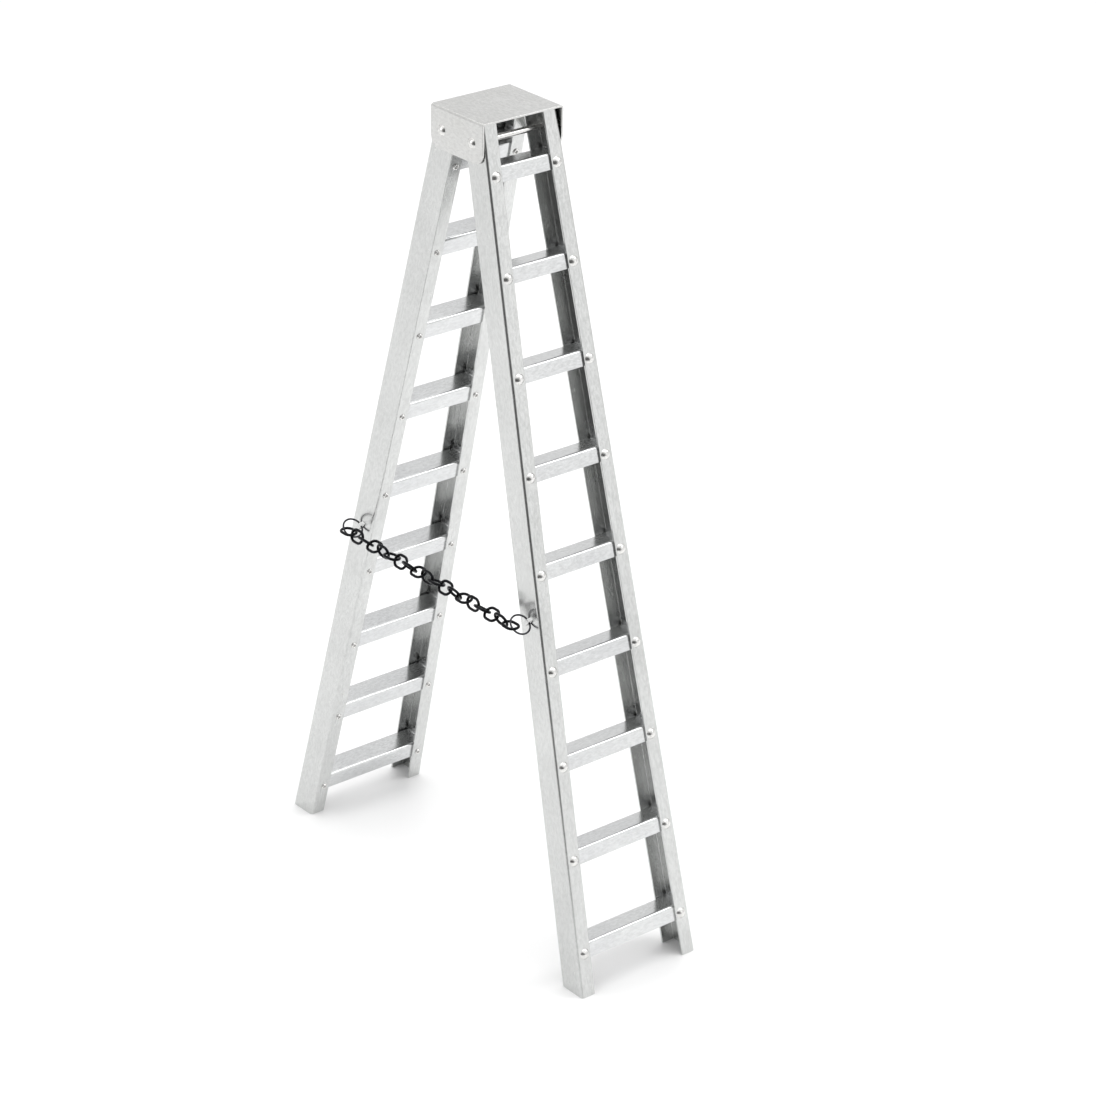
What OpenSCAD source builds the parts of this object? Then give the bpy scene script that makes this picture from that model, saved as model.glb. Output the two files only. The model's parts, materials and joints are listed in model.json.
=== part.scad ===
// Double-sided folding step ladder: two frames of folded sheet hang from rods in a cap and lean apart,
// and a chain of wire links between the left rails keeps them from spreading.
// X is the width (left is -X), -Y is the front, +Z is up, and the origin is on the floor at the centre.

/* [Ladder] */
// Overall height, from the floor to the top of the cap
height = 175; // [150:1:200]
// Angle that each frame leans out from the vertical when open
lean = 14; // [12:0.5:17]
// Angle that each rail splays out, seen from the front
splay = 1.95; // [1:0.05:2.5]
// Width across the two rails of a frame, at the pivots
top_w = 18.7; // [16:0.1:24]
// Distance between the front and rear pivot rods
pivot_gap = 9.5; // [9:0.1:12]

/* [Sheet] */
// Thickness of the folded sheet
sheet = 0.4; // [0.3:0.05:0.45]
// Outer radius of the folds
fold_r = 0.6; // [0.5:0.05:0.8]

/* [Rails] */
// Depth of a rail, across its two flanges
rail_d = 6.4; // [5.5:0.1:6.8]
// Width of a flange, from the outside of the web
flange_w = 3.4; // [3.2:0.1:4]

/* [Steps] */
// Distance along the rail from the pivot to the first step's rivets
first_step = 7.1; // [6.8:0.1:9]
// Distance along the rail from the last step's rivets to the floor
last_step = 8.4; // [6:0.1:12]
// Angle of a tread from square to its rail
tread_tilt = 5; // [0:0.5:7]
// Height of a tread's outer edge above its rivets
tread_rise = 2.05; // [1.8:0.05:2.5]
// Length of the lips below the rivets
lip_drop = 1.3; // [1.1:0.05:1.8]
// Distance in from the lips' inside to the edges of the tab that folds up at each end of a tread
tab_in = 0.08; // [0.05:0.01:0.8]
// Height of that tab above its tread
tab_h = 1.4; // [1:0.05:1.8]

/* [Cap] */
// Depth of the cap, front to rear
cap_d = 16.3; // [15.5:0.1:20]
// Length of an ear, down from the top of the cap
ear_drop = 8.7; // [8:0.1:10]
// Radius of an ear's lower corners
ear_r = 2.5; // [1:0.1:3]
// Depth of the pivots below the top of the cap
pivot_drop = 4.7; // [4.5:0.05:5.2]

/* [Rods and rivets] */
// Diameter of a pivot rod
rod_d = 1.3; // [1:0.05:1.5]
// Diameter of the domed heads on the rods and the rivets
head_d = 2.3; // [1.9:0.05:2.4]
// Diameter of a rivet's shank
rivet_d = 1; // [0.8:0.05:1.1]
// Distance of the rivets from the outside of the web
rivet_in = 2; // [1.9:0.05:2.1]

/* [Chain] */
// Wire diameter of a link
link_wire = 0.6; // [0.4:0.05:0.6]
// Outer width of a link
link_w = 3.2; // [2.8:0.1:3.2]
// Wire diameter of the rings that hold the chain
ring_wire = 0.4; // [0.3:0.01:0.4]
// Diameter of a ring, across the middle of its wire
ring_d = 4.3; // [3.8:0.1:4.4]
// Angle of the rings' plane above the level, seen from the left
ring_turn = 40; // [35:1:45]

/* [Hidden] */
steps = 9;
links = 19;
FRONT = -1;
REAR = 1;
LEFT = -1;
RIGHT = 1;
$fn = 48;

// Clearances
snug = 0.02;        // around a rivet, and between nested sheets
running = 0.04;     // around a rod, where a rail turns on it
stop_gap = 0.1;     // between a rail's top corner and the cap, when open
ear_gap = 0.3;      // between an ear and a rail, beside the pivot
link_gap = 0.03;    // between the wires of two linked links

// Main frame
pivot_z = height - pivot_drop;
rail_len = pivot_z / cos(lean);
step_pitch = (rail_len - first_step - last_step) / (steps - 1);
rail_top = (pivot_drop - sheet - stop_gap - rail_d / 2 * sin(lean)) / cos(lean);
below_floor = 10;

// Cap
ear_in = top_w / 2 + ear_gap;
ear_out = ear_in + sheet;

// Heads and tails of the rods and the rivets
head_h = 0.6;
tail_d = 1.4;
tail_h = 0.3;

// Section of a step: its lips lie against the inside of the rail's flanges
lip_y = rail_d / 2 - sheet - snug;
tab_w = 2 * (lip_y - sheet - tab_in);
tab_r = 1.2;

// Eyelets: a strip pressed out of the left rails' webs, with a ring passing under it
eye_s = first_step + 4.46 * step_pitch;
eye_y = pivot_gap / 2 + eye_s * sin(lean);
eye_z = pivot_z - eye_s * cos(lean);
bridge_w = 0.8;
bridge_h = 0.85;
bridge_t = 0.35;
bridge_foot = 1.25;     // half the strip's length at the web
bridge_flat = 0.72;     // half the length of its flat
ring_off = 0.2;         // from the web to the middle of the ring's wire

// Chain: its end links hook round the outer side of the rings
chain_in = 0.4;         // from the rings' far side in to the middle of the chain
hook = 0.9;             // from the eyelets out to the end links' end wires
chain_x = -(web_x(eye_s) + ring_off + ring_d - chain_in);
chain_end = eye_y + hook;
link_lap = link_wire + link_gap;
link_pitch = (2 * chain_end - link_lap) / links;
link_r = (link_w - link_wire) / 2;
link_straight = link_pitch + link_lap - 2 * link_r;
half_turns = 7;         // of the twist along the whole chain
link_turn = half_turns * 180 / (links - 1);

// Distance of a web's outer face from the middle, at s along the rail
function web_x(s) = top_w / 2 + s * tan(splay);
// Distance along the rail of the rivets of step i
function step_s(i) = first_step + (i - 1) * step_pitch;
function unit(v) = v / norm(v);

// A convex outline with a radius for each corner
module rounded(pts, radii) {
    n = len(pts);
    difference() {
        polygon(pts);
        for (i = [0:n - 1])
            if (radii[i] > 0) {
                a = unit(pts[(i + n - 1) % n] - pts[i]);
                b = unit(pts[(i + 1) % n] - pts[i]);
                half = acos(a * b) / 2;
                mid = pts[i] + unit(a + b) * radii[i] / sin(half);
                to_a = pts[i] + a * radii[i] / tan(half) - mid;
                to_b = pts[i] + b * radii[i] / tan(half) - mid;
                translate(mid)
                    difference() {
                        polygon([[0, 0], 2 * to_a, 3 * (pts[i] - mid), 2 * to_b]);
                        circle(radii[i]);
                    }
            }
    }
}

// Extrudes an outline drawn in Y and Z along X, both ways from the middle
module along_x(length) {
    rotate([90, 0, 90]) linear_extrude(length, center = true) children();
}

// Places what is drawn about a pivot, with its rail straight down and -Y outward
module in_frame(side) {
    mirror([0, side == REAR ? 1 : 0, 0])
        translate([0, -pivot_gap / 2, pivot_z])
            rotate([-lean, 0, 0]) children();
}

// A domed head, standing on z = 0
module dome(d, h) {
    ball = (d * d / 4 + h * h) / (2 * h);
    intersection() {
        translate([0, 0, h - ball]) sphere(ball);
        cylinder(h = h, d = d);
    }
}

// A hole for a rod or a rivet, along Y, both ways from the middle
module bore_y(d, length) {
    rotate([90, 0, 0]) cylinder(h = length, d = d, center = true);
}

// Places what is drawn at an eyelet: X along its strip, Y outward, Z along the ring's wire
module at_eyelet(side) {
    turn = side == REAR ? 180 - ring_turn : ring_turn;
    translate([-web_x(eye_s), 0, -eye_s])
        rotate([turn + lean - 90, 0, 0])
            rotate([0, 0, 90]) children();
}

module bridge() {
    foot = [bridge_foot, -sheet / 2];
    flat = [bridge_flat, bridge_h];
    foot_in = [bridge_foot - bridge_t, -sheet];
    flat_in = [bridge_flat - bridge_t / 3, bridge_h - bridge_t];
    linear_extrude(bridge_w, center = true)
        difference() {
            rounded([[-foot.x, foot.y], [-flat.x, flat.y], flat, foot], [0, bridge_t, bridge_t, 0]);
            polygon([[-foot_in.x, foot_in.y], [-flat_in.x, flat_in.y], flat_in, foot_in]);
        }
}

// The slot that pressing out the strip leaves in the web
module bridge_slot() {
    long = 2 * (bridge_foot - bridge_t);
    translate([-long / 2, -2 * sheet, -bridge_w / 2]) cube([long, 3 * sheet, bridge_w]);
}

// A rail's channel, from below the floor to its top
module channel(hand) {
    far = -hand * flange_w;
    half = rail_d / 2;
    in = half - sheet;
    web_in = -hand * sheet;
    translate([hand * top_w / 2, 0, 0])
        rotate([0, -hand * splay, 0])
            translate([0, 0, -rail_len - below_floor])
                linear_extrude(rail_len + below_floor + rail_top)
                    difference() {
                        rounded([[0, -half], [0, half], [far, half], [far, -half]], [fold_r, fold_r, 0, 0]);
                        rounded([[web_in, -in], [web_in, in], [2 * far, in], [2 * far, -in]],
                                [fold_r - sheet, fold_r - sheet, 0, 0]);
                    }
}

module rail(side, hand) {
    color("gainsboro")
        difference() {
            in_frame(side) {
                difference() {
                    channel(hand);
                    for (i = [1:steps])
                        translate([hand * (web_x(step_s(i)) - rivet_in), 0, -step_s(i)])
                            bore_y(rivet_d + 2 * snug, 2 * rail_d);
                    translate([hand * top_w / 2, 0, 0])
                        rotate([0, 90, 0]) cylinder(h = 4 * sheet, d = rod_d + 2 * running, center = true);
                    if (hand == LEFT)
                        at_eyelet(side) bridge_slot();
                }
                if (hand == LEFT)
                    at_eyelet(side) bridge();
            }
            translate([-top_w * 2, -height, -2 * below_floor])
                cube([top_w * 4, 2 * height, 2 * below_floor]);
        }
}

// Height of a tread's top above its rivets, at y across the step
function tread_z(y) = tread_rise + (lip_y + y) * tan(tread_tilt);

module step_section() {
    in = lip_y - sheet;
    under = sheet / cos(tread_tilt);
    difference() {
        rounded([[-lip_y, -lip_drop], [-lip_y, tread_z(-lip_y)], [lip_y, tread_z(lip_y)], [lip_y, -lip_drop]],
                [0, fold_r, fold_r, 0]);
        rounded([[-in, -2 * lip_drop], [-in, tread_z(-in) - under], [in, tread_z(in) - under],
                 [in, -2 * lip_drop]],
                [0, fold_r - sheet, fold_r - sheet, 0]);
    }
}

// The outline of an end tab, from the middle of the tread's sheet up
module tab_outline() {
    translate([0, tread_z(0) - sheet / 2])
        rotate(tread_tilt)
            rounded([[-tab_w / 2, 0], [-tab_w / 2, tab_h + sheet / 2], [tab_w / 2, tab_h + sheet / 2],
                     [tab_w / 2, 0]],
                    [0, tab_r, tab_r, 0]);
}

module step(side, i) {
    half = web_x(step_s(i) - tread_z(0) - tab_h) - sheet - snug;
    color("silver")
        in_frame(side) translate([0, 0, -step_s(i)])
            difference() {
                union() {
                    along_x(2 * half) step_section();
                    difference() {
                        along_x(2 * half) tab_outline();
                        along_x(2 * (half - sheet)) square(4 * rail_d, center = true);
                    }
                }
                for (hand = [LEFT, RIGHT])
                    translate([hand * (web_x(step_s(i)) - rivet_in), 0, 0])
                        bore_y(rivet_d + 2 * snug, 2 * rail_d);
            }
}

// The rivets of one rail: a domed head outside, a shank through the step, and a small set end inside
module rivets(side, hand) {
    color("whitesmoke")
        in_frame(side)
            for (i = [1:steps])
                translate([hand * (web_x(step_s(i)) - rivet_in), 0, -step_s(i)]) {
                    bore_y(rivet_d, rail_d);
                    translate([0, -rail_d / 2, 0]) rotate([90, 0, 0]) dome(head_d, head_h);
                    translate([0, rail_d / 2, 0]) rotate([-90, 0, 0]) dome(tail_d, tail_h);
                }
}

module cap() {
    color("gainsboro")
        translate([0, 0, height])
            difference() {
                intersection() {
                    rotate([90, 0, 0])
                        linear_extrude(cap_d, center = true)
                            difference() {
                                rounded([[-ear_out, -ear_drop], [-ear_out, 0], [ear_out, 0],
                                         [ear_out, -ear_drop]],
                                        [0, fold_r, fold_r, 0]);
                                rounded([[-ear_in, -2 * ear_drop], [-ear_in, -sheet], [ear_in, -sheet],
                                         [ear_in, -2 * ear_drop]],
                                        [0, fold_r - sheet, fold_r - sheet, 0]);
                            }
                    along_x(4 * ear_out)
                        rounded([[-cap_d / 2, -ear_drop], [-cap_d / 2, sheet], [cap_d / 2, sheet],
                                 [cap_d / 2, -ear_drop]],
                                [ear_r, 0, 0, ear_r]);
                }
                for (side = [FRONT, REAR])
                    translate([0, side * pivot_gap / 2, -pivot_drop])
                        rotate([0, 90, 0]) cylinder(h = 4 * ear_out, d = rod_d + 2 * snug, center = true);
            }
}

module pivot_rod(side) {
    color("whitesmoke")
        translate([0, side * pivot_gap / 2, pivot_z]) {
            rotate([0, 90, 0]) cylinder(h = 2 * ear_out, d = rod_d, center = true);
            for (hand = [LEFT, RIGHT])
                translate([hand * ear_out, 0, 0]) rotate([0, hand * 90, 0]) dome(head_d, head_h);
        }
}

module chain_ring(side) {
    color("dimgray")
        in_frame(side) at_eyelet(side)
            translate([0, ring_off + ring_d / 2, 0])
                rotate([0, 90, 0])
                    rotate_extrude() translate([ring_d / 2, 0]) circle(d = ring_wire);
}

// Each link is turned 70 degrees from the one before it, and both end links lie level
module chain_link(k) {
    color("black")
        translate([chain_x, -chain_end + (link_pitch + link_lap) / 2 + (k - 1) * link_pitch, eye_z])
            rotate([0, (k - 1) * link_turn, 0])
                union()
                    for (end = [0, 180])
                        rotate(end) {
                            translate([0, link_straight / 2, 0])
                                rotate_extrude(angle = 180) translate([link_r, 0]) circle(d = link_wire);
                            for (leg = [LEFT, RIGHT])
                                translate([leg * link_r, 0, 0])
                                    rotate([-90, 0, 0]) cylinder(h = link_straight / 2, d = link_wire);
                        }
}

cap();
pivot_rod(FRONT);  // front_pivot_rod
pivot_rod(REAR);  // rear_pivot_rod
rail(FRONT, LEFT);  // front_left_rail
rail(FRONT, RIGHT);  // front_right_rail
rail(REAR, LEFT);  // rear_left_rail
rail(REAR, RIGHT);  // rear_right_rail
rivets(FRONT, LEFT);  // front_left_rivets
rivets(FRONT, RIGHT);  // front_right_rivets
rivets(REAR, LEFT);  // rear_left_rivets
rivets(REAR, RIGHT);  // rear_right_rivets
chain_ring(FRONT);  // front_chain_ring
chain_ring(REAR);  // rear_chain_ring
for (i = [1:steps])
    step(FRONT, i);
for (i = [1:steps])
    step(REAR, i);
for (k = [1:links])
    chain_link(k);
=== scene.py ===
"""Miniature folding step ladder: folded aluminium rails, steps and cap, riveted up, with a black spreader chain.

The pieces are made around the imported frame, in metres. Sizes are named in millimetres and turned by MM.
-Y is the front, -X the left, where the chain is, and +Z is up.
"""

import json
import math

import bmesh
import bpy
from mathutils import Matrix, Vector


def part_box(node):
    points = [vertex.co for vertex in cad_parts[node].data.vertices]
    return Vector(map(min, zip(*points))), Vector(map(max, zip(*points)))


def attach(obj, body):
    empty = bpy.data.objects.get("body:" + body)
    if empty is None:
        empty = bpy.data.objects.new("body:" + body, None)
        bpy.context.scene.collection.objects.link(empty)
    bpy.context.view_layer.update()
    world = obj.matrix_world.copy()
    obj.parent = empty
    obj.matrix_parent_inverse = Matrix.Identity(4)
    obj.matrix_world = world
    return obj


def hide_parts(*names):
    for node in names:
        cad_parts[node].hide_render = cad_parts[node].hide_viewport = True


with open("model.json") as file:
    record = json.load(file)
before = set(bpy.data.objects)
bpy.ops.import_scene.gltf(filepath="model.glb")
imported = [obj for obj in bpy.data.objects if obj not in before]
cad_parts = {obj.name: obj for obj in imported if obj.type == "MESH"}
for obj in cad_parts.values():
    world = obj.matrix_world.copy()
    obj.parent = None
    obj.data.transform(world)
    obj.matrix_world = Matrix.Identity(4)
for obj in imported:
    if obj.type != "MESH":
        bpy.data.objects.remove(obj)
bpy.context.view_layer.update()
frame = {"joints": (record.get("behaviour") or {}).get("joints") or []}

MM = 0.001
FRONT, REAR = -1, 1
LEFT, RIGHT = -1, 1
SIDES = {"front": FRONT, "rear": REAR}
HANDS = {"left": LEFT, "right": RIGHT}
STEPS = 9
LINKS = 19

# ---------------------------------------------------------------- sizes

joint = {j["name"]: j for j in frame["joints"]}
pivot = [v / MM for v in joint["front_frame_fold"]["pos_m"]]
PIVOT_Y, PIVOT_Z = -pivot[1], pivot[2]
LEAN = math.radians(joint["front_frame_fold"]["range_deg"][1])
SPLAY = math.radians(1.95)
TOP_W = 18.7
SHEET = 0.4
FOLD_R = 0.6
RAIL_D = 6.4
FLANGE_W = 3.4
FIRST_STEP = 7.1
LAST_STEP = 8.4
RAIL_LEN = PIVOT_Z / math.cos(LEAN)
STEP_PITCH = (RAIL_LEN - FIRST_STEP - LAST_STEP) / (STEPS - 1)
TREAD_TILT = math.radians(5)
TREAD_RISE = 2.05
LIP_DROP = 1.3
TAB_IN, TAB_H, TAB_R = 0.08, 1.4, 1.2
TAB_FILLET = 0.3
SNUG = 0.02
STEP_LIP = RAIL_D / 2 - SHEET - SNUG
TAB_W = 2 * (STEP_LIP - SHEET - TAB_IN)
HEAD_D, HEAD_H = 2.3, 0.6
TAIL_D, TAIL_H = 1.4, 0.3
# A set end rolled over round a hollow: shares of its radius and height, from its middle out
SET_END = [(0, -0.8), (0.36, -0.8), (0.4, 0.5), (0.52, 0.95), (0.68, 1), (0.86, 0.78), (1, 0.3), (1, 0)]
ROD_D, RIVET_D, RIVET_IN = 1.3, 1.0, 2.0
STOP_GAP = 0.1
EAR_R = 2.5

CAP_LOW, CAP_HIGH = (tuple(v / MM for v in corner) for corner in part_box("cap"))
RAIL_TOP = (CAP_HIGH[2] - PIVOT_Z - SHEET - STOP_GAP - RAIL_D / 2 * math.sin(LEAN)) / math.cos(LEAN)
# The eyelets lie this many step pitches below the first step's rivets
EYE_PITCHES = 4.46
EYE_S = FIRST_STEP + EYE_PITCHES * STEP_PITCH
RING_TURN = math.radians(40)
RING_D, RING_WIRE, RING_OFF = 4.3, 0.4, 0.2
BRIDGE_W, BRIDGE_H, BRIDGE_T = 0.8, 0.85, 0.35
BRIDGE_R = 0.1
BRIDGE_FOOT, BRIDGE_FLAT = 1.25, 0.72
LINK_WIRE, LINK_W = 0.6, 3.2
LINK_LAP = 0.63
LINK_TURN = math.radians(7 * 180 / (LINKS - 1))

CAMERA_AIM = (15.226, 0.0, 74.148)
CAMERA_AZIMUTH, CAMERA_HEIGHT, CAMERA_ROLL = (math.radians(v) for v in (-39.848, 25.812, 1.168))
CAMERA_AWAY = 741.15
CAMERA_LENS = 115.78
CAMERA_SENSOR = 36


def web_x(s):
    """Distance of a rail's web from the middle, at s along the rail."""
    return TOP_W / 2 + s * math.tan(SPLAY)


def step_s(i):
    """Distance along the rail of the rivets of step i, counted from 1."""
    return FIRST_STEP + (i - 1) * STEP_PITCH


def on_frame(side, x, out, s):
    """A point of a frame: x across, out from the rails' middle plane, s down along the rails, all in mm."""
    y = PIVOT_Y + out * math.cos(LEAN) + s * math.sin(LEAN)
    z = PIVOT_Z + out * math.sin(LEAN) - s * math.cos(LEAN)
    return Vector((x, side * y, z)) * MM


def tread_z(out):
    """Height of a tread's top above its rivets, along the rail."""
    return TREAD_RISE + (STEP_LIP - out) * math.tan(TREAD_TILT)


# ---------------------------------------------------------------- mesh making

# Edges that turn by more than this are sharp
SHARP_ANGLE = math.radians(40)


def arc(centre, radius, start, end, count):
    """Points on an arc, from start to end in degrees."""
    turns = [math.radians(start + (end - start) * k / count) for k in range(count + 1)]
    return [(centre[0] + radius * math.cos(t), centre[1] + radius * math.sin(t)) for t in turns]


def rounded(corners, radii, count=7):
    """A convex outline with an arc of its own radius at each corner."""
    out = []
    for k, (p, r) in enumerate(zip(corners, radii)):
        p = Vector(p)
        if r == 0:
            out.append(tuple(p))
            continue
        a = (Vector(corners[k - 1]) - p).normalized()
        b = (Vector(corners[(k + 1) % len(corners)]) - p).normalized()
        half = a.angle(b) / 2
        mid = p + (a + b).normalized() * r / math.sin(half)
        first = p + a * r / math.tan(half) - mid
        last = p + b * r / math.tan(half) - mid
        start = math.degrees(math.atan2(first.y, first.x))
        turn = math.degrees(math.atan2(last.y, last.x)) - start
        turn = (turn + 180) % 360 - 180
        out += arc(mid, r, start, start + turn, count)
    return out


def folded_section(outer, inner):
    """One closed loop round a folded sheet: along the outside, then back along the inside."""
    return outer + inner[::-1]


def solid(name, rings, closed=False):
    """A mesh through rings of points, with its ends filled, or joined up when closed."""
    n = len(rings[0])
    points = [p for ring in rings for p in ring]
    spans = len(rings) if closed else len(rings) - 1
    faces = []
    for k in range(spans):
        a, b = k * n, (k + 1) % len(rings) * n
        faces += [(a + i, a + (i + 1) % n, b + (i + 1) % n, b + i) for i in range(n)]
    if not closed:
        faces += [tuple(range(n))[::-1], tuple(range(len(points) - n, len(points)))]
    mesh = bpy.data.meshes.new(name)
    mesh.from_pydata([tuple(p) for p in points], [], faces)
    return outward(mesh)


def outward(mesh):
    """Turns every face outwards."""
    bm = bmesh.new()
    bm.from_mesh(mesh)
    bmesh.ops.remove_doubles(bm, verts=bm.verts, dist=1e-7)
    bmesh.ops.recalc_face_normals(bm, faces=bm.faces)
    bm.to_mesh(mesh)
    bm.free()
    return mesh


def joined(name, meshes):
    """One mesh of several closed ones."""
    bm = bmesh.new()
    for mesh in meshes:
        bm.from_mesh(mesh)
        bpy.data.meshes.remove(mesh)
    out = bpy.data.meshes.new(name)
    bm.to_mesh(out)
    bm.free()
    return out


def lathe(name, profile, place, sides=32):
    """A turned solid: profile is (radius, height) from pole to pole, and place puts it on its axis."""
    turns = [2 * math.pi * k / sides for k in range(sides)]
    rings = [[place @ Vector((max(r, 1e-5) * math.cos(t) * MM, max(r, 1e-5) * math.sin(t) * MM, h * MM))
              for t in turns] for r, h in profile]
    return solid(name, rings)


def dome(d, h, base, way, count=7):
    """The profile of a domed head, from its rim at base to its top, way +1 up or -1 down."""
    ball = (d * d / 4 + h * h) / (2 * h)
    rim = math.asin(min(1, d / 2 / ball))
    out = []
    for k in range(count + 1):
        t = rim * (1 - k / count)
        out.append((ball * math.sin(t), base + way * (h - ball + ball * math.cos(t))))
    return out


def plain(obj):
    """The object's mesh with its modifiers applied, in a new object of the same name."""
    graph = bpy.context.evaluated_depsgraph_get()
    mesh = bpy.data.meshes.new_from_object(obj.evaluated_get(graph))
    name = obj.name
    old = obj.data
    bpy.data.objects.remove(obj)
    bpy.data.meshes.remove(old)
    mesh.name = name
    out = bpy.data.objects.new(name, mesh)
    bpy.context.collection.objects.link(out)
    return out


def piece(name, mesh, material, edge=0.05):
    """A finished piece: its cut edges broken by edge mm, its folds shaded smooth, its flats flat."""
    obj = bpy.data.objects.new(name, mesh)
    bpy.context.collection.objects.link(obj)
    mesh.materials.clear()
    mesh.materials.append(material)
    for face in mesh.polygons:
        face.use_smooth = True
    mesh.set_sharp_from_angle(angle=SHARP_ANGLE)
    if edge:
        bevel = obj.modifiers.new("broken_edges", "BEVEL")
        bevel.width = edge * MM
        bevel.segments = 2
        bevel.limit_method = "ANGLE"
        bevel.angle_limit = SHARP_ANGLE
        weigh = obj.modifiers.new("flat_flats", "WEIGHTED_NORMAL")
        weigh.keep_sharp = True
        obj = plain(obj)
    return obj


# ---------------------------------------------------------------- materials


def linear(code):
    """An sRGB hex colour as linear RGBA."""
    parts = [int(code[k:k + 2], 16) / 255 for k in (1, 3, 5)]
    return [v / 12.92 if v <= 0.04045 else ((v + 0.055) / 1.055) ** 2.4 for v in parts] + [1.0]


def node(tree, kind, settings=None, **links):
    """Adds a node. Settings are its properties, or its inputs by name or number; links join its inputs."""
    made = tree.nodes.new(kind)
    for key, value in (settings or {}).items():
        if isinstance(key, int) or key in made.inputs:
            made.inputs[key].default_value = value
        else:
            setattr(made, key, value)
    for key, source in links.items():
        socket = made.inputs[int(key[1:])] if key[0] == "_" else made.inputs[key.replace("_", " ")]
        tree.links.new(source, socket)
    return made


def ramp(tree, source, stops):
    """A colour ramp over stops of (place, RGBA)."""
    made = node(tree, "ShaderNodeValToRGB", Fac=source)
    band = made.color_ramp
    band.elements[0].position, band.elements[0].color = stops[0]
    band.elements[1].position, band.elements[1].color = stops[-1]
    for place, colour in stops[1:-1]:
        band.elements.new(place).color = colour
    return made.outputs["Color"]


def grey(v):
    return (v, v, v, 1.0)


def begin(name, **settings):
    """A new material with its Principled shader and Object coordinates."""
    material = bpy.data.materials.new(name)
    material.use_nodes = True
    tree = material.node_tree
    shader = tree.nodes["Principled BSDF"]
    for key, value in settings.items():
        shader.inputs[key.replace("_", " ")].default_value = value
    place = node(tree, "ShaderNodeTexCoord").outputs["Object"]
    return material, tree, shader, place


# Sizes of the sheet's patterns, in mm
STREAK_APART, STREAK_LONG = 0.4, 1.0
RUB_WIDE, RUB_LONG = 0.6, 6
PATCH = 14


def rolled_sheet(name, lean, along, light, dark):
    """Mill-finish aluminium sheet, cold rolled: an even satin grey with a fine grain the way it was rolled.

    The grain breaks up the reflections, and faint patches of handling make the gloss uneven.
    lean turns the pattern with the frame, and along is the axis that the grain runs on.
    """
    material, tree, shader, place = begin(name, Metallic=1.0)
    link = tree.links.new
    turned = node(tree, "ShaderNodeMapping", {"vector_type": "POINT", "Rotation": (lean, 0, 0)},
                  Vector=place).outputs[0]
    # The rolls leave fine streaks. Real ones are finer than shows here, so these are drawn coarser.
    size = [1 / (STREAK_APART * MM)] * 3
    size["XYZ".index(along)] = 1 / (STREAK_LONG * MM)
    streaks = node(tree, "ShaderNodeMapping", {"Scale": size}, Vector=turned).outputs[0]
    grain = node(tree, "ShaderNodeTexNoise", {"Scale": 1.0, "Detail": 4.0, "Roughness": 0.7},
                 Vector=streaks).outputs["Fac"]
    # Handling and storage leave faint patches
    cloud = node(tree, "ShaderNodeTexNoise", {"Scale": 1 / (PATCH * MM), "Detail": 2.0, "Roughness": 0.5},
                 Vector=place).outputs["Fac"]
    # Short rubs lie along the sheet, where pieces have slid on each other
    size = [1 / (RUB_WIDE * MM)] * 3
    size["XYZ".index(along)] = 1 / (RUB_LONG * MM)
    rub_place = node(tree, "ShaderNodeMapping", {"Scale": size, "Location": (3.1, 7.7, 1.3)},
                     Vector=turned).outputs[0]
    rubs = node(tree, "ShaderNodeTexNoise", {"Scale": 1.0, "Detail": 1.0}, Vector=rub_place).outputs["Fac"]
    rub = ramp(tree, rubs, [(0.64, grey(0)), (0.76, grey(1))])
    colour = ramp(tree, cloud, [(0.3, linear(dark)), (0.7, linear(light))])
    shade = ramp(tree, grain, [(0.38, grey(0.86)), (0.62, grey(1.0))])
    streaked = node(tree, "ShaderNodeMix", {"data_type": "RGBA", "blend_type": "MULTIPLY", 0: 1.0},
                    _6=colour, _7=shade).outputs[2]
    link(streaked, shader.inputs["Base Color"])
    gloss = node(tree, "ShaderNodeMapRange", {"From Min": 0.3, "From Max": 0.7, "To Min": 0.22, "To Max": 0.26},
                 Value=cloud).outputs[0]
    gloss = node(tree, "ShaderNodeMath", {"operation": "MULTIPLY_ADD", 1: 0.06}, _0=rub, _2=gloss).outputs[0]
    link(gloss, shader.inputs["Roughness"])
    bump = node(tree, "ShaderNodeBump", {"Strength": 0.35, "Distance": 0.006 * MM}, Height=grain).outputs[0]
    link(bump, shader.inputs["Normal"])
    return material


def headed_wire(name, light, dark):
    """Drawn aluminium wire, headed in a die: brighter than the sheet, with fine pits in the domes."""
    material, tree, shader, place = begin(name, Metallic=1.0)
    link = tree.links.new
    pits = node(tree, "ShaderNodeTexNoise", {"Scale": 1 / (0.35 * MM), "Detail": 3.0}, Vector=place).outputs["Fac"]
    link(ramp(tree, pits, [(0.3, linear(dark)), (0.65, linear(light))]), shader.inputs["Base Color"])
    gloss = node(tree, "ShaderNodeMapRange", {"To Min": 0.16, "To Max": 0.3}, Value=pits).outputs[0]
    link(gloss, shader.inputs["Roughness"])
    bump = node(tree, "ShaderNodeBump", {"Strength": 0.3, "Distance": 0.02 * MM}, Height=pits).outputs[0]
    link(bump, shader.inputs["Normal"])
    return material


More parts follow.
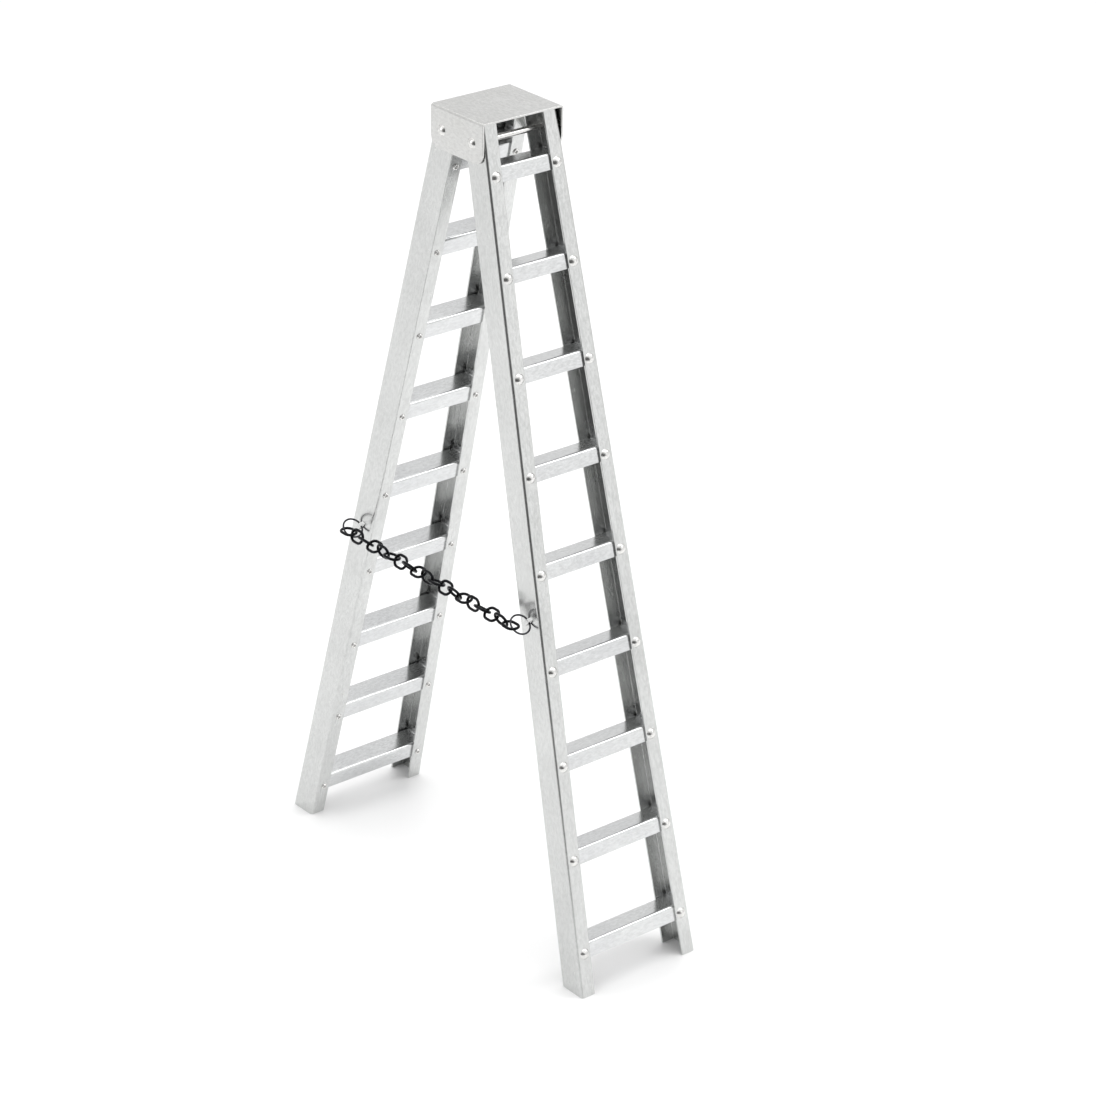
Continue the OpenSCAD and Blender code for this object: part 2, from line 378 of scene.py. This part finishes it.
def plated_chain(name):
    """Steel wire chain with a black plated finish: near black, with paler patches of uneven gloss."""
    material, tree, shader, place = begin(name, Metallic=0.9)
    link = tree.links.new
    film = node(tree, "ShaderNodeTexNoise", {"Scale": 1 / (0.8 * MM), "Detail": 4.0, "Roughness": 0.6},
                Vector=place).outputs["Fac"]
    link(ramp(tree, film, [(0.3, linear("#0E0E10")), (0.62, linear("#202124")), (0.8, linear("#3A3B3E"))]),
         shader.inputs["Base Color"])
    gloss = node(tree, "ShaderNodeMapRange", {"To Min": 0.22, "To Max": 0.42}, Value=film).outputs[0]
    link(gloss, shader.inputs["Roughness"])
    bump = node(tree, "ShaderNodeBump", {"Strength": 0.2, "Distance": 0.01 * MM}, Height=film).outputs[0]
    link(bump, shader.inputs["Normal"])
    return material


def ring_wire_steel(name):
    """Drawn steel wire left as it came: dark grey, with a patchy dull film."""
    material, tree, shader, place = begin(name, Metallic=1.0)
    link = tree.links.new
    film = node(tree, "ShaderNodeTexNoise", {"Scale": 1 / (0.5 * MM), "Detail": 3.0}, Vector=place).outputs["Fac"]
    link(ramp(tree, film, [(0.3, linear("#2E2E31")), (0.7, linear("#505054"))]), shader.inputs["Base Color"])
    gloss = node(tree, "ShaderNodeMapRange", {"To Min": 0.24, "To Max": 0.4}, Value=film).outputs[0]
    link(gloss, shader.inputs["Roughness"])
    return material


CAP_SHEET = rolled_sheet("cap_mill_aluminium", 0, "Y", "#DBDBDA", "#D4D4D2")
RAIL_SHEET = {side: rolled_sheet(f"{name}_rail_mill_aluminium", -side * LEAN, "Z", "#D7D8D7", "#CFD0CF")
              for name, side in SIDES.items()}
STEP_SHEET = {side: rolled_sheet(f"{name}_step_mill_aluminium", -side * LEAN, "X", "#DDDEDE", "#D5D6D7")
              for name, side in SIDES.items()}
HEADED = headed_wire("headed_aluminium_wire", "#EAE9E7", "#C9C9C7")
BLACK_CHAIN = plated_chain("black_plated_steel_chain")
RING_STEEL = ring_wire_steel("drawn_steel_ring_wire")

# ---------------------------------------------------------------- rows, made by geometry nodes


def row_tree():
    """A node tree that sets copies of a piece in a row, each turned a little more than the one before."""
    tree = bpy.data.node_groups.new("row_of_copies", "GeometryNodeTree")
    new = tree.interface.new_socket
    new("Piece", in_out="INPUT", socket_type="NodeSocketGeometry")
    sockets = {
        "count": new("Count", in_out="INPUT", socket_type="NodeSocketInt"),
        "start": new("Start", in_out="INPUT", socket_type="NodeSocketVector"),
        "step": new("Step", in_out="INPUT", socket_type="NodeSocketVector"),
        "turn": new("Turn about Y", in_out="INPUT", socket_type="NodeSocketFloat"),
        "material": new("Finish", in_out="INPUT", socket_type="NodeSocketMaterial"),
    }
    new("Row", in_out="OUTPUT", socket_type="NodeSocketGeometry")
    given = tree.nodes.new("NodeGroupInput").outputs
    line = node(tree, "GeometryNodeMeshLine", {"mode": "OFFSET"}, Count=given["Count"],
                Start_Location=given["Start"], Offset=given["Step"]).outputs["Mesh"]
    index = node(tree, "GeometryNodeInputIndex").outputs[0]
    angle = node(tree, "ShaderNodeMath", {"operation": "MULTIPLY"}, _0=index, _1=given["Turn about Y"]).outputs[0]
    turn = node(tree, "ShaderNodeCombineXYZ", Y=angle).outputs[0]
    copies = node(tree, "GeometryNodeInstanceOnPoints", Points=line, Instance=given["Piece"],
                  Rotation=turn).outputs["Instances"]
    real = node(tree, "GeometryNodeRealizeInstances", Geometry=copies).outputs["Geometry"]
    done = node(tree, "GeometryNodeSetMaterial", Geometry=real, Material=given["Finish"]).outputs["Geometry"]
    node(tree, "NodeGroupOutput", Row=done)
    return tree, {key: socket.identifier for key, socket in sockets.items()}


ROW, ROW_INPUT = row_tree()


def row(name, mesh, **values):
    """A plain mesh object of a row of copies of mesh."""
    obj = piece(name, mesh, values["material"], edge=0)
    made = obj.modifiers.new("row", "NODES")
    made.node_group = ROW
    for key, value in values.items():
        made[ROW_INPUT[key]] = value
    return plain(obj)


# ---------------------------------------------------------------- the rails


def eyelet_place(side):
    """The axes at an eyelet: x along its strip, y outward from the web, z along the ring's wire."""
    wire = Vector((0, math.cos(RING_TURN), math.sin(RING_TURN)))
    out = Vector((-1, 0, 0))
    place = Matrix((out.cross(wire), out, wire)).transposed().to_4x4()
    place.translation = on_frame(side, -web_x(EYE_S), 0, EYE_S)
    return place


def at(place, x, y, z):
    return place @ (Vector((x, y, z)) * MM)


def bridge(side):
    """The strip pressed out of a left rail's web, under which the ring passes."""
    foot, foot_in = BRIDGE_FOOT, BRIDGE_FOOT - BRIDGE_T
    flat, flat_in = BRIDGE_FLAT, BRIDGE_FLAT - BRIDGE_T / 3
    low, high = -SHEET / 2, BRIDGE_H
    under = BRIDGE_H - BRIDGE_T
    outer = rounded([(-foot, low), (-flat, high), (flat, high), (foot, low)], [0, BRIDGE_T, BRIDGE_T, 0])
    inner = rounded([(-foot_in, low), (-flat_in, under), (flat_in, under), (foot_in, low)],
                    [0, BRIDGE_R, BRIDGE_R, 0])
    section = folded_section(outer, inner)
    place = eyelet_place(side)
    return solid("bridge", [[at(place, x, y, z) for x, y in section] for z in (-BRIDGE_W / 2, BRIDGE_W / 2)])


def slotted(obj, side):
    """Cuts the slot that the strip leaves in the web."""
    long = BRIDGE_FOOT - BRIDGE_T
    wide = BRIDGE_W / 2
    place = eyelet_place(side)
    corners = [(-long, -wide), (long, -wide), (long, wide), (-long, wide)]
    tool = bpy.data.objects.new("slot", solid("slot", [[at(place, x, y, z) for x, z in corners]
                                                       for y in (-2 * SHEET, SHEET)]))
    bpy.context.collection.objects.link(tool)
    cut = obj.modifiers.new("slot", "BOOLEAN")
    cut.operation = "DIFFERENCE"
    cut.solver = "EXACT"
    cut.object = tool
    obj = plain(obj)
    bpy.data.objects.remove(tool)
    return obj


def rail(name, side, hand):
    """A rail: one sheet folded into a channel, cut square at the top and level at the foot.

    Its holes are left out, because the rod and the rivets that fill them hide them.
    """
    half, inside = RAIL_D / 2, RAIL_D / 2 - SHEET
    outer = rounded([(FLANGE_W, -half), (0, -half), (0, half), (FLANGE_W, half)], [0, FOLD_R, FOLD_R, 0])
    inner_r = FOLD_R - SHEET
    inner = rounded([(FLANGE_W, -inside), (SHEET, -inside), (SHEET, inside), (FLANGE_W, inside)],
                    [0, inner_r, inner_r, 0])
    section = folded_section(outer, inner)

    def ring(share):
        points = []
        for deep, out in section:
            foot = (PIVOT_Z + out * math.sin(LEAN)) / math.cos(LEAN)
            s = -RAIL_TOP + (foot + RAIL_TOP) * share
            points.append(on_frame(side, hand * (web_x(s) - deep), out, s))
        return points

    obj = bpy.data.objects.new(name, solid(name, [ring(0), ring(1)]))
    bpy.context.collection.objects.link(obj)
    if hand == LEFT:
        obj = slotted(obj, side)
        mesh = joined(name, [obj.data.copy(), bridge(side)])
    else:
        mesh = obj.data.copy()
    bpy.data.objects.remove(obj)
    return piece(name, mesh, RAIL_SHEET[side])


# ---------------------------------------------------------------- the steps


def tab(side, i, hand, half):
    """The end of a tread, folded up against the web, with its top corners rounded."""
    flat = TAB_W / 2 - TAB_R
    outs = [-TAB_W / 2 + TAB_R * (1 - math.cos(math.radians(t))) for t in range(0, 91, 15)]
    outs += [-v for v in outs[::-1]]
    rings = []
    for out in outs:
        beyond = max(0.0, abs(out) - flat)
        high = TAB_H - TAB_R + math.sqrt(max(0.0, TAB_R ** 2 - beyond ** 2))
        inner = half - SHEET
        section = [(half, -SHEET / 2), (half, high), (inner, high)]
        section += [(inner - TAB_FILLET + x, TAB_FILLET + z)
                    for x, z in arc((0, 0), TAB_FILLET, 0, -90, 5)]
        section += [(inner - TAB_FILLET, -SHEET / 2)]
        rings.append([on_frame(side, hand * x, out, step_s(i) - tread_z(out) - z) for x, z in section])
    return solid("tab", rings)


def step(name, side, i):
    """A step: one sheet with a lip folded down at the front and rear, and a tab up at each end."""
    lip, inside = STEP_LIP, STEP_LIP - SHEET
    under = SHEET / math.cos(TREAD_TILT)
    outer = rounded([(lip, -LIP_DROP), (lip, tread_z(lip)), (-lip, tread_z(-lip)), (-lip, -LIP_DROP)],
                    [0, FOLD_R, FOLD_R, 0])
    inner_r = FOLD_R - SHEET
    inner = rounded([(inside, -LIP_DROP), (inside, tread_z(inside) - under),
                     (-inside, tread_z(-inside) - under), (-inside, -LIP_DROP)], [0, inner_r, inner_r, 0])
    section = folded_section(outer, inner)
    half = web_x(step_s(i) - tread_z(0) - TAB_H) - SHEET - SNUG
    ends = [[on_frame(side, x, out, step_s(i) - up) for out, up in section] for x in (-half, half)]
    mesh = joined(name, [solid("channel", ends)] + [tab(side, i, hand, half) for hand in (LEFT, RIGHT)])
    return piece(name, mesh, STEP_SHEET[side], edge=0.04)


# ---------------------------------------------------------------- the cap and its rods


def cap(name):
    """The cap: one sheet folded down into two ears with round lower corners."""
    out_x, deep, top = CAP_HIGH[0], CAP_HIGH[1], CAP_HIGH[2]
    drop = top - CAP_LOW[2]
    in_x = out_x - SHEET
    rings = []
    ys = [-deep + EAR_R * (1 - math.cos(math.radians(t))) for t in range(0, 91, 9)]
    ys += [-y for y in ys[::-1]]
    for y in ys:
        beyond = max(0.0, abs(y) - (deep - EAR_R))
        low = top - drop + EAR_R - math.sqrt(max(0.0, EAR_R ** 2 - beyond ** 2))
        outer = rounded([(-out_x, low), (-out_x, top), (out_x, top), (out_x, low)], [0, FOLD_R, FOLD_R, 0])
        inner_r = FOLD_R - SHEET
        inner = rounded([(-in_x, low), (-in_x, top - SHEET), (in_x, top - SHEET), (in_x, low)],
                        [0, inner_r, inner_r, 0])
        rings.append([Vector((x, y, z)) * MM for x, z in folded_section(outer, inner)])
    return piece(name, solid(name, rings), CAP_SHEET)


def rod(name, side):
    """A pivot rod across the cap, with a domed head on each ear."""
    out_x = CAP_HIGH[0]
    profile = dome(HEAD_D, HEAD_H, -out_x, -1)[::-1] + [(ROD_D / 2, -out_x), (ROD_D / 2, out_x)]
    profile += dome(HEAD_D, HEAD_H, out_x, 1)
    place = Matrix.Translation(Vector((0, side * PIVOT_Y, PIVOT_Z)) * MM) @ Matrix.Rotation(math.pi / 2, 4, "Y")
    return piece(name, lathe(name, profile, place), HEADED, edge=0)


# ---------------------------------------------------------------- rivets, rings and chain


def rivets(name, side, hand):
    """A rail's nine rivets: a domed head outside, a shank through the step and a set end inside."""
    half = RAIL_D / 2
    profile = [(share * TAIL_D / 2, -half - TAIL_H * high) for share, high in SET_END]
    profile += [(RIVET_D / 2, -half), (RIVET_D / 2, half)]
    profile += dome(HEAD_D, HEAD_H, half, 1)
    out = on_frame(side, 0, 1, 0) - on_frame(side, 0, 0, 0)
    place = out.to_track_quat("Z", "Y").to_matrix().to_4x4()
    first, second = (on_frame(side, hand * (web_x(step_s(i)) - RIVET_IN), 0, step_s(i)) for i in (1, 2))
    return row(name, lathe(name, profile, place, sides=24), count=STEPS, start=first, step=second - first,
               turn=0.0, material=HEADED)


def loop(name, path, wire, sides=12):
    """A closed wire along path, whose points lie in one plane with the origin inside."""
    normal = Vector((0, 0, 0))
    for a, b in zip(path, path[1:] + path[:1]):
        normal += a.cross(b)
    normal.normalize()
    rings = []
    for k, p in enumerate(path):
        ahead = (path[(k + 1) % len(path)] - path[k - 1]).normalized()
        side = ahead.cross(normal)
        turns = [2 * math.pi * j / sides for j in range(sides)]
        rings.append([p + (side * math.cos(t) + normal * math.sin(t)) * wire / 2 * MM for t in turns])
    return solid(name, rings, closed=True)


def chain_ring(name, side):
    """The wire ring in an eyelet, standing straight out of the web."""
    turns = [2 * math.pi * k / 40 for k in range(40)]
    place = eyelet_place(side)
    middle = RING_OFF + RING_D / 2
    path = [Vector((0, math.cos(t), math.sin(t))) * RING_D / 2 * MM for t in turns]
    mesh = loop(name, path, RING_WIRE)
    mesh.transform(place @ Matrix.Translation((0, middle * MM, 0)))
    return piece(name, outward(mesh), RING_STEEL, edge=0)


def link_mesh(name, pitch):
    """One link, level, along Y."""
    r = (LINK_W - LINK_WIRE) / 2
    straight = (pitch + LINK_LAP) / 2 - r
    path = arc((0, straight), r, 0, 180, 12) + arc((0, -straight), r, 180, 360, 12)
    return loop(name, [Vector((x * MM, y * MM, 0)) for x, y in path], LINK_WIRE)


def chain_run(name, first, last):
    """Links first to last, each turned some way round from the one before it."""
    low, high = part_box(f"chain_link_{first}")
    start = (Vector(low) + Vector(high)) / 2
    ends = [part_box(f"chain_link_{k}") for k in (1, LINKS)]
    pitch = (ends[1][0][1] - ends[0][0][1]) / (LINKS - 1)
    mesh = link_mesh(name, pitch / MM)
    mesh.transform(Matrix.Rotation((first - 1) * LINK_TURN, 4, "Y"))
    return row(name, mesh, count=last - first + 1, start=start, step=Vector((0, pitch, 0)),
               turn=LINK_TURN, material=BLACK_CHAIN)


def fit(obj, body, nodes):
    """Puts a piece on its body in place of its CAD nodes."""
    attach(obj, body)
    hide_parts(*nodes)


fit(cap("cap_plate"), "cap_body", ["cap"])
for word, side in SIDES.items():
    fit(rod(f"{word}_rod", side), "cap_body", [f"{word}_pivot_rod"])
    fit(chain_ring(f"{word}_ring", side), f"{word}_frame", [f"{word}_chain_ring"])
    for i in range(1, STEPS + 1):
        fit(step(f"{word}_tread_{i}", side, i), f"{word}_frame", [f"{word}_step_{i}"])
    for hand_word, hand in HANDS.items():
        stem = f"{word}_{hand_word}"
        fit(rail(f"{stem}_channel", side, hand), f"{word}_frame", [f"{stem}_rail"])
        fit(rivets(f"{stem}_rivet_row", side, hand), f"{word}_frame", [f"{stem}_rivets"])

RUNS = {
    "chain_front_run": (1, 8), "chain_front_corner": (9, 9), "chain_middle": (10, 10),
    "chain_rear_corner": (11, 11), "chain_rear_run": (12, 19),
}
for body, (first, last) in RUNS.items():
    links = [f"chain_link_{k}" for k in range(first, last + 1)]
    fit(chain_run(f"{body}_links", first, last), body, links)

# ---------------------------------------------------------------- studio

# Lengths in metres from here on, and power in watts
FLOOR_NEAR, FLOOR_FAR, FLOOR_WIDE = 0.3, 6.0, 6.0
FLOOR_GREY, FLOOR_ROUGHNESS = 0.95, 0.4
LADDER_MIDDLE = Vector((0, 0, 0.08))
UNLIT_DROP = -0.1
ROOM_STRENGTH = 1.25
# How bright the room is, from the side away from the camera (0) to the camera's side (1)
ROOM = [(0.0, 0.74), (0.2, 1.0), (0.5, 0.92), (0.72, 0.4), (0.86, 0.1)]
# Name, place, size and power
SOFT_LIGHTS = [
    ("overhead", (0.05, 0.1, 0.75), 0.7, 2.0),
    ("left", (-0.8, 0.2, 0.45), 0.5, 0.6),
    ("key", (0.46, -0.3, 0.57), 0.3, 0.9),
]


def camera():
    """The camera: its place, turn and lens."""
    a, e, r = CAMERA_AZIMUTH, CAMERA_HEIGHT, CAMERA_ROLL
    right = Vector((math.cos(a), math.sin(a), 0))
    up = Vector((-math.sin(a) * math.sin(e), math.cos(a) * math.sin(e), math.cos(e)))
    back = Vector((math.sin(a) * math.cos(e), -math.cos(a) * math.cos(e), math.sin(e)))
    turned_right = right * math.cos(r) + up * math.sin(r)
    turned_up = up * math.cos(r) - right * math.sin(r)
    data = bpy.data.cameras.new("camera")
    data.lens = CAMERA_LENS
    data.sensor_width = CAMERA_SENSOR
    data.clip_start = 0.01
    obj = bpy.data.objects.new("camera", data)
    obj.matrix_world = Matrix((turned_right, turned_up, back)).transposed().to_4x4()
    obj.matrix_world.translation = (Vector(CAMERA_AIM) + back * CAMERA_AWAY) * MM
    bpy.context.collection.objects.link(obj)
    bpy.context.scene.camera = obj
    return back


def floor(level):
    """A white table top with a slight sheen, whose near edge is on the camera's side."""
    near, far, wide = FLOOR_NEAR, FLOOR_FAR, FLOOR_WIDE
    across = Vector((-level.y, level.x, 0)).normalized()
    away = Vector((level.x, level.y, 0)).normalized()
    corners = [away * near - across * wide, away * near + across * wide,
               across * wide - away * far, -across * wide - away * far]
    mesh = bpy.data.meshes.new("floor")
    mesh.from_pydata([tuple(p) for p in corners], [], [(0, 1, 2, 3)])
    material, _, shader, _ = begin("white_table", Roughness=FLOOR_ROUGHNESS)
    shader.inputs["Base Color"].default_value = grey(FLOOR_GREY)
    mesh.materials.append(material)
    obj = bpy.data.objects.new("floor", mesh)
    bpy.context.collection.objects.link(obj)


def soft_light(name, place, size, power):
    """A square softbox that faces the ladder's middle."""
    data = bpy.data.lights.new(name, "AREA")
    data.size = size
    data.energy = power
    obj = bpy.data.objects.new(name, data)
    obj.location = place
    obj.rotation_euler = (Vector(place) - LADDER_MIDDLE).to_track_quat("Z", "Y").to_euler()
    bpy.context.collection.objects.link(obj)


def surroundings(level):
    """A white room, with its dark unlit side level with the ladder on the camera's side."""
    world = bpy.data.worlds.new("studio")
    world.use_nodes = True
    tree = world.node_tree
    way = node(tree, "ShaderNodeTexCoord").outputs["Generated"]
    facing = node(tree, "ShaderNodeVectorMath", {"operation": "DOT_PRODUCT", 1: level},
                  _0=way).outputs["Value"]
    room = ramp(tree, facing, [(share, grey(v)) for share, v in ROOM])
    seen = node(tree, "ShaderNodeLightPath").outputs["Is Camera Ray"]
    tint = node(tree, "ShaderNodeMix", {"data_type": "RGBA", 7: grey(1.0)}, _0=seen, _6=room).outputs[2]
    background = tree.nodes["Background"]
    tree.links.new(tint, background.inputs["Color"])
    background.inputs["Strength"].default_value = ROOM_STRENGTH
    bpy.context.scene.world = world


toward = camera()
unlit = Vector((toward.x, toward.y, UNLIT_DROP)).normalized()
floor(unlit)
surroundings(unlit)
for name, place, size, power in SOFT_LIGHTS:
    soft_light(name, place, size, power)
bpy.context.scene.view_settings.view_transform = "Standard"
